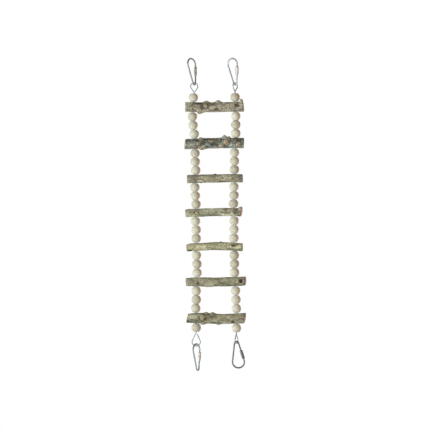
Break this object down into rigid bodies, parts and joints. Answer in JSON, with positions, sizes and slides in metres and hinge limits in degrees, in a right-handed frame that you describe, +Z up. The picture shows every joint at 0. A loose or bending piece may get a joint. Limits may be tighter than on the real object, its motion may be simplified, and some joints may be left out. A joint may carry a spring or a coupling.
{
  "type": "hanging bird ladder",
  "caption": "Hanging ladder for cage birds: bark-covered branch rungs and round wooden beads on two steel wires with eyes, hung from pear-shaped screw links.",
  "frame": {"origin": "midway between the two top links, on the line where a bar through both of them bears under their crowns", "axes": "+X along the rungs to the right as seen from the front, +Z up along the hanging ladder, -Y towards the front"},
  "size_m": [0.0776, 0.0155, 0.3915],
  "materials": {
    "bark": "rough grey-brown bark with knots and sawn ends",
    "bead_wood": "pale turned wood, untreated, satin",
    "wire_steel": "bare drawn steel wire",
    "link_steel": "bright zinc-plated steel"
  },
  "bodies": {
    "top_links": {"link_top_left": "link_steel", "link_top_right": "link_steel"},
    "section_1": {"rung_1": "bark", "wire_left": "wire_steel", "wire_right": "wire_steel"},
    "section_2": {"rung_2": "bark"},
    "section_3": {"rung_3": "bark"},
    "section_4": {"rung_4": "bark"},
    "section_5": {"rung_5": "bark"},
    "section_6": {"rung_6": "bark"},
    "section_7": {"rung_7": "bark"},
    "bottom_link_left": {"link_bottom_left": "link_steel"},
    "bottom_link_right": {"link_bottom_right": "link_steel"},
    "nut_top_left": {"sleeve_top_left": "link_steel"},
    "nut_top_right": {"sleeve_top_right": "link_steel"},
    "nut_bottom_left": {"sleeve_bottom_left": "link_steel"},
    "nut_bottom_right": {"sleeve_bottom_right": "link_steel"},
    "bead_left_01_body": {"bead_left_01": "bead_wood"},
    "bead_left_02_body": {"bead_left_02": "bead_wood"},
    "bead_left_03_body": {"bead_left_03": "bead_wood"},
    "bead_left_04_body": {"bead_left_04": "bead_wood"},
    "bead_left_05_body": {"bead_left_05": "bead_wood"},
    "bead_left_06_body": {"bead_left_06": "bead_wood"},
    "bead_left_07_body": {"bead_left_07": "bead_wood"},
    "bead_left_08_body": {"bead_left_08": "bead_wood"},
    "bead_left_09_body": {"bead_left_09": "bead_wood"},
    "bead_left_10_body": {"bead_left_10": "bead_wood"},
    "bead_left_11_body": {"bead_left_11": "bead_wood"},
    "bead_left_12_body": {"bead_left_12": "bead_wood"},
    "bead_left_13_body": {"bead_left_13": "bead_wood"},
    "bead_left_14_body": {"bead_left_14": "bead_wood"},
    "bead_left_15_body": {"bead_left_15": "bead_wood"},
    "bead_left_16_body": {"bead_left_16": "bead_wood"},
    "bead_left_17_body": {"bead_left_17": "bead_wood"},
    "bead_left_18_body": {"bead_left_18": "bead_wood"},
    "bead_left_19_body": {"bead_left_19": "bead_wood"},
    "bead_left_20_body": {"bead_left_20": "bead_wood"},
    "bead_right_01_body": {"bead_right_01": "bead_wood"},
    "bead_right_02_body": {"bead_right_02": "bead_wood"},
    "bead_right_03_body": {"bead_right_03": "bead_wood"},
    "bead_right_04_body": {"bead_right_04": "bead_wood"},
    "bead_right_05_body": {"bead_right_05": "bead_wood"},
    "bead_right_06_body": {"bead_right_06": "bead_wood"},
    "bead_right_07_body": {"bead_right_07": "bead_wood"},
    "bead_right_08_body": {"bead_right_08": "bead_wood"},
    "bead_right_09_body": {"bead_right_09": "bead_wood"},
    "bead_right_10_body": {"bead_right_10": "bead_wood"},
    "bead_right_11_body": {"bead_right_11": "bead_wood"},
    "bead_right_12_body": {"bead_right_12": "bead_wood"},
    "bead_right_13_body": {"bead_right_13": "bead_wood"},
    "bead_right_14_body": {"bead_right_14": "bead_wood"},
    "bead_right_15_body": {"bead_right_15": "bead_wood"},
    "bead_right_16_body": {"bead_right_16": "bead_wood"},
    "bead_right_17_body": {"bead_right_17": "bead_wood"},
    "bead_right_18_body": {"bead_right_18": "bead_wood"},
    "bead_right_19_body": {"bead_right_19": "bead_wood"},
    "bead_right_20_body": {"bead_right_20": "bead_wood"}
  },
  "joints": [
    {"name": "ladder_swing", "type": "hinge", "parent": "top_links", "child": "section_1", "pos_m": [0, 0, -0.02933], "axis": [1, 0, 0], "range_deg": [-30, 30]},
    {"name": "flex_1", "type": "hinge", "parent": "section_1", "child": "section_2", "pos_m": [-0.00074, 0, -0.08212], "axis": [0.9999, 0, 0.0131], "range_deg": [-6, 6], "deforming": ["wire_left", "wire_right"]},
    {"name": "flex_2", "type": "hinge", "parent": "section_2", "child": "section_3", "pos_m": [-0.0002, 0, -0.12752], "axis": [0.9998, 0, 0.0184], "range_deg": [-6, 6], "deforming": ["wire_left", "wire_right"]},
    {"name": "flex_3", "type": "hinge", "parent": "section_3", "child": "section_4", "pos_m": [-0.0004, 0, -0.17016], "axis": [0.9999, 0, 0.0149], "range_deg": [-6, 6], "deforming": ["wire_left", "wire_right"]},
    {"name": "flex_4", "type": "hinge", "parent": "section_4", "child": "section_5", "pos_m": [0.00015, 0, -0.21276], "axis": [1, 0, 0.01], "range_deg": [-6, 6], "deforming": ["wire_left", "wire_right"]},
    {"name": "flex_5", "type": "hinge", "parent": "section_5", "child": "section_6", "pos_m": [0.00091, 0, -0.25572], "axis": [1, 0, 0.0073], "range_deg": [-6, 6], "deforming": ["wire_left", "wire_right"]},
    {"name": "flex_6", "type": "hinge", "parent": "section_6", "child": "section_7", "pos_m": [0.00144, 0, -0.30025], "axis": [1, 0, -0.001], "range_deg": [-6, 6], "deforming": ["wire_left", "wire_right"]},
    {"name": "bottom_link_left_swing", "type": "hinge", "parent": "section_7", "child": "bottom_link_left", "pos_m": [-0.0235, 0, -0.3582], "axis": [0.9976, -0.0698, 0], "range_deg": [-60, 60]},
    {"name": "bottom_link_right_swing", "type": "hinge", "parent": "section_7", "child": "bottom_link_right", "pos_m": [0.0269, 0, -0.35506], "axis": [0.4695, 0.8829, 0], "range_deg": [-60, 60]},
    {"name": "nut_top_left_slide", "type": "slide", "parent": "top_links", "child": "nut_top_left", "axis": [0.0061, -0.1622, -0.9867], "range_m": [0, 0.0052]},
    {"name": "nut_top_right_slide", "type": "slide", "parent": "top_links", "child": "nut_top_right", "axis": [-0.0199, 0.1369, -0.9904], "range_m": [0, 0.0052]},
    {"name": "nut_bottom_left_slide", "type": "slide", "parent": "bottom_link_left", "child": "nut_bottom_left", "axis": [-0.0452, -0.175, -0.9835], "range_m": [0, 0.0052]},
    {"name": "nut_bottom_right_slide", "type": "slide", "parent": "bottom_link_right", "child": "nut_bottom_right", "axis": [-0.3098, 0, 0.9508], "range_m": [0, 0.0052]},
    {"name": "bead_left_01_turn", "type": "hinge", "parent": "section_1", "child": "bead_left_01_body", "pos_m": [-0.0271, 0, -0.04781], "axis": [0, 0, 1], "continuous": true},
    {"name": "bead_left_02_turn", "type": "hinge", "parent": "section_1", "child": "bead_left_02_body", "pos_m": [-0.02813, 0, -0.07159], "axis": [0, 0, 1], "continuous": true},
    {"name": "bead_left_03_turn", "type": "hinge", "parent": "section_1", "child": "bead_left_03_body", "pos_m": [-0.02744, 0, -0.08247], "axis": [0, 0, 1], "continuous": true},
    {"name": "bead_left_04_turn", "type": "hinge", "parent": "section_2", "child": "bead_left_04_body", "pos_m": [-0.02596, 0, -0.09335], "axis": [0, 0, 1], "continuous": true},
    {"name": "bead_left_05_turn", "type": "hinge", "parent": "section_2", "child": "bead_left_05_body", "pos_m": [-0.025, 0, -0.1174], "axis": [0, 0, 1], "continuous": true},
    {"name": "bead_left_06_turn", "type": "hinge", "parent": "section_2", "child": "bead_left_06_body", "pos_m": [-0.02473, 0, -0.12797], "axis": [0, 0, 1], "continuous": true},
    {"name": "bead_left_07_turn", "type": "hinge", "parent": "section_3", "child": "bead_left_07_body", "pos_m": [-0.02408, 0, -0.13854], "axis": [0, 0, 1], "continuous": true},
    {"name": "bead_left_08_turn", "type": "hinge", "parent": "section_3", "child": "bead_left_08_body", "pos_m": [-0.02515, 0, -0.16004], "axis": [0, 0, 1], "continuous": true},
    {"name": "bead_left_09_turn", "type": "hinge", "parent": "section_3", "child": "bead_left_09_body", "pos_m": [-0.02465, 0, -0.17053], "axis": [0, 0, 1], "continuous": true},
    {"name": "bead_left_10_turn", "type": "hinge", "parent": "section_4", "child": "bead_left_10_body", "pos_m": [-0.02375, 0, -0.18101], "axis": [0, 0, 1], "continuous": true},
    {"name": "bead_left_11_turn", "type": "hinge", "parent": "section_4", "child": "bead_left_11_body", "pos_m": [-0.02447, 0, -0.20234], "axis": [0, 0, 1], "continuous": true},
    {"name": "bead_left_12_turn", "type": "hinge", "parent": "section_4", "child": "bead_left_12_body", "pos_m": [-0.0235, 0, -0.213], "axis": [0, 0, 1], "continuous": true},
    {"name": "bead_left_13_turn", "type": "hinge", "parent": "section_5", "child": "bead_left_13_body", "pos_m": [-0.02353, 0, -0.22365], "axis": [0, 0, 1], "continuous": true},
    {"name": "bead_left_14_turn", "type": "hinge", "parent": "section_5", "child": "bead_left_14_body", "pos_m": [-0.02322, 0, -0.24507], "axis": [0, 0, 1], "continuous": true},
    {"name": "bead_left_15_turn", "type": "hinge", "parent": "section_5", "child": "bead_left_15_body", "pos_m": [-0.02257, 0, -0.25589], "axis": [0, 0, 1], "continuous": true},
    {"name": "bead_left_16_turn", "type": "hinge", "parent": "section_6", "child": "bead_left_16_body", "pos_m": [-0.02248, 0, -0.26671], "axis": [0, 0, 1], "continuous": true},
    {"name": "bead_left_17_turn", "type": "hinge", "parent": "section_6", "child": "bead_left_17_body", "pos_m": [-0.02353, 0, -0.28939], "axis": [0, 0, 1], "continuous": true},
    {"name": "bead_left_18_turn", "type": "hinge", "parent": "section_6", "child": "bead_left_18_body", "pos_m": [-0.02339, 0, -0.30022], "axis": [0, 0, 1], "continuous": true},
    {"name": "bead_left_19_turn", "type": "hinge", "parent": "section_7", "child": "bead_left_19_body", "pos_m": [-0.02406, 0, -0.31106], "axis": [0, 0, 1], "continuous": true},
    {"name": "bead_left_20_turn", "type": "hinge", "parent": "section_7", "child": "bead_left_20_body", "pos_m": [-0.02338, 0, -0.33531], "axis": [0, 0, 1], "continuous": true},
    {"name": "bead_right_01_turn", "type": "hinge", "parent": "section_1", "child": "bead_right_01_body", "pos_m": [0.02513, 0, -0.04745], "axis": [0, 0, 1], "continuous": true},
    {"name": "bead_right_02_turn", "type": "hinge", "parent": "section_1", "child": "bead_right_02_body", "pos_m": [0.02592, 0, -0.07106], "axis": [0, 0, 1], "continuous": true},
    {"name": "bead_right_03_turn", "type": "hinge", "parent": "section_1", "child": "bead_right_03_body", "pos_m": [0.02595, 0, -0.08177], "axis": [0, 0, 1], "continuous": true},
    {"name": "bead_right_04_turn", "type": "hinge", "parent": "section_2", "child": "bead_right_04_body", "pos_m": [0.02597, 0, -0.09248], "axis": [0, 0, 1], "continuous": true},
    {"name": "bead_right_05_turn", "type": "hinge", "parent": "section_2", "child": "bead_right_05_body", "pos_m": [0.02432, 0, -0.11643], "axis": [0, 0, 1], "continuous": true},
    {"name": "bead_right_06_turn", "type": "hinge", "parent": "section_2", "child": "bead_right_06_body", "pos_m": [0.02433, 0, -0.12707], "axis": [0, 0, 1], "continuous": true},
    {"name": "bead_right_07_turn", "type": "hinge", "parent": "section_3", "child": "bead_right_07_body", "pos_m": [0.02427, 0, -0.1377], "axis": [0, 0, 1], "continuous": true},
    {"name": "bead_right_08_turn", "type": "hinge", "parent": "section_3", "child": "bead_right_08_body", "pos_m": [0.02369, 0, -0.1593], "axis": [0, 0, 1], "continuous": true},
    {"name": "bead_right_09_turn", "type": "hinge", "parent": "section_3", "child": "bead_right_09_body", "pos_m": [0.02385, 0, -0.1698], "axis": [0, 0, 1], "continuous": true},
    {"name": "bead_right_10_turn", "type": "hinge", "parent": "section_4", "child": "bead_right_10_body", "pos_m": [0.02311, 0, -0.18031], "axis": [0, 0, 1], "continuous": true},
    {"name": "bead_right_11_turn", "type": "hinge", "parent": "section_4", "child": "bead_right_11_body", "pos_m": [0.02376, 0, -0.20177], "axis": [0, 0, 1], "continuous": true},
    {"name": "bead_right_12_turn", "type": "hinge", "parent": "section_4", "child": "bead_right_12_body", "pos_m": [0.0238, 0, -0.21253], "axis": [0, 0, 1], "continuous": true},
    {"name": "bead_right_13_turn", "type": "hinge", "parent": "section_5", "child": "bead_right_13_body", "pos_m": [0.02354, 0, -0.22328], "axis": [0, 0, 1], "continuous": true},
    {"name": "bead_right_14_turn", "type": "hinge", "parent": "section_5", "child": "bead_right_14_body", "pos_m": [0.02418, 0, -0.24477], "axis": [0, 0, 1], "continuous": true},
    {"name": "bead_right_15_turn", "type": "hinge", "parent": "section_5", "child": "bead_right_15_body", "pos_m": [0.02439, 0, -0.25555], "axis": [0, 0, 1], "continuous": true},
    {"name": "bead_right_16_turn", "type": "hinge", "parent": "section_6", "child": "bead_right_16_body", "pos_m": [0.0245, 0, -0.26633], "axis": [0, 0, 1], "continuous": true},
    {"name": "bead_right_17_turn", "type": "hinge", "parent": "section_6", "child": "bead_right_17_body", "pos_m": [0.02568, 0, -0.28921], "axis": [0, 0, 1], "continuous": true},
    {"name": "bead_right_18_turn", "type": "hinge", "parent": "section_6", "child": "bead_right_18_body", "pos_m": [0.02627, 0, -0.30028], "axis": [0, 0, 1], "continuous": true},
    {"name": "bead_right_19_turn", "type": "hinge", "parent": "section_7", "child": "bead_right_19_body", "pos_m": [0.02668, 0, -0.31134], "axis": [0, 0, 1], "continuous": true},
    {"name": "bead_right_20_turn", "type": "hinge", "parent": "section_7", "child": "bead_right_20_body", "pos_m": [0.02677, 0, -0.33584], "axis": [0, 0, 1], "continuous": true}
  ]
}
